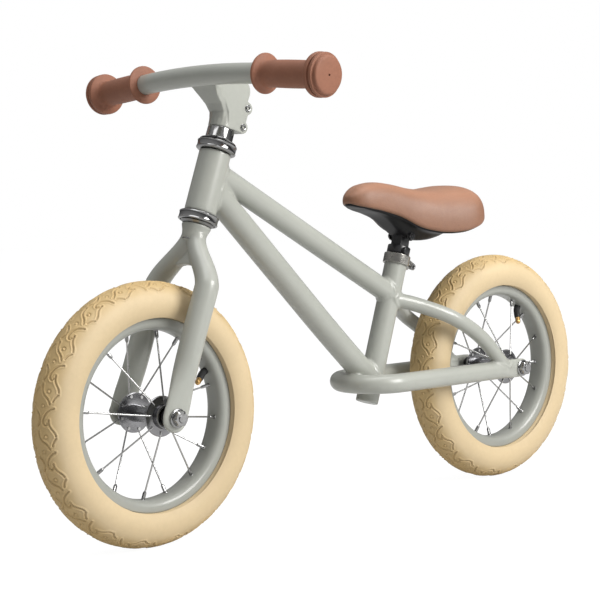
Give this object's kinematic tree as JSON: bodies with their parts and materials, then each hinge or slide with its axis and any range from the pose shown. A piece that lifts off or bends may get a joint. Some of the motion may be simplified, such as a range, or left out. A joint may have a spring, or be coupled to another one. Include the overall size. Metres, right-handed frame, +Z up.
{
  "type": "balance bike",
  "caption": "Pedal-less child's training bike: steel tube frame, curved fork, two spoked pneumatic wheels, swept handlebar with flanged grips and a padded saddle on a sliding post.",
  "frame": {"origin": "on the floor, midway between the wheels' axles and between the grips", "axes": "+X forward, +Y to the rider's left, +Z up"},
  "size_m": [0.8888, 0.4102, 0.5466],
  "materials": {
    "frame_paint": "satin",
    "rim_paint": "satin",
    "headset_chrome": "polished",
    "bearing_steel": "dark ground",
    "zinc_steel": "bright zinc plate",
    "collar_satin": "satin",
    "black_steel": "semi-gloss black",
    "black_plastic": "fine grain",
    "black_rubber": "matte",
    "tyre_cream": "matte",
    "grip_rubber": "matte",
    "saddle_leather": "fine grain",
    "valve_brass": "turned"
  },
  "bodies": {
    "frame": {"head_tube": "frame_paint", "top_tube": "frame_paint", "down_tube": "frame_paint", "seat_tube": "frame_paint", "chainstay_hoop": "frame_paint", "seatstay_left": "frame_paint", "seatstay_right": "frame_paint", "headset_lower_cup": "headset_chrome", "headset_lower_bearing": "bearing_steel", "headset_upper_cup": "headset_chrome", "headset_upper_bearing": "bearing_steel", "seat_collar": "collar_satin", "seat_collar_bolt": "zinc_steel", "rear_axle": "zinc_steel", "rear_cone_left": "black_plastic", "rear_cone_right": "black_plastic", "rear_axle_nut_left": "zinc_steel", "rear_axle_nut_right": "zinc_steel"},
    "steering": {"fork_crown": "frame_paint", "fork_steerer": "zinc_steel", "fork_blade_left": "frame_paint", "fork_blade_right": "frame_paint", "fork_bridge": "frame_paint", "crown_race": "bearing_steel", "headset_upper_cone": "headset_chrome", "headset_neck": "headset_chrome", "stem": "frame_paint", "stem_bolt_lower": "zinc_steel", "stem_bolt_upper": "zinc_steel", "handlebar": "frame_paint", "grip_left": "grip_rubber", "grip_right": "grip_rubber", "front_axle": "zinc_steel", "front_cone_left": "black_plastic", "front_cone_right": "black_plastic", "front_axle_nut_left": "zinc_steel", "front_axle_nut_right": "zinc_steel"},
    "front_wheel": {"front_tyre": "tyre_cream", "front_inner_tube": "black_rubber", "front_rim": "rim_paint", "front_hub_barrel": "zinc_steel", "front_bearing_left": "bearing_steel", "front_bearing_right": "bearing_steel", "front_spokes_left": "zinc_steel", "front_spokes_right": "zinc_steel", "front_valve_cap": "valve_brass"},
    "rear_wheel": {"rear_tyre": "tyre_cream", "rear_inner_tube": "black_rubber", "rear_rim": "rim_paint", "rear_hub_barrel": "zinc_steel", "rear_bearing_left": "bearing_steel", "rear_bearing_right": "bearing_steel", "rear_spokes_left": "zinc_steel", "rear_spokes_right": "zinc_steel", "rear_valve_cap": "valve_brass"},
    "seatpost": {"seatpost": "black_steel", "saddle_clamp": "black_steel", "saddle_clamp_bolt": "zinc_steel"},
    "saddle": {"saddle_base": "black_plastic", "saddle_cover": "saddle_leather"}
  },
  "joints": [
    {"name": "steer", "type": "hinge", "parent": "frame", "child": "steering", "pos_m": [0.21065, 0, 0.37213], "axis": [-0.3518, 0, 0.9361], "continuous": true},
    {"name": "front_wheel_spin", "type": "hinge", "parent": "steering", "child": "front_wheel", "pos_m": [0.295, 0, 0.15], "axis": [0, 1, 0], "continuous": true},
    {"name": "rear_wheel_spin", "type": "hinge", "parent": "frame", "child": "rear_wheel", "pos_m": [-0.295, 0, 0.15], "axis": [0, 1, 0], "continuous": true},
    {"name": "seat_height", "type": "slide", "parent": "frame", "child": "seatpost", "axis": [-0.3223, 0, 0.9466], "range_m": [0, 0.07]},
    {"name": "saddle_tilt", "type": "hinge", "parent": "seatpost", "child": "saddle", "pos_m": [-0.12317, 0, 0.33248], "axis": [0, 1, 0], "range_deg": [-8, 8]}
  ]
}
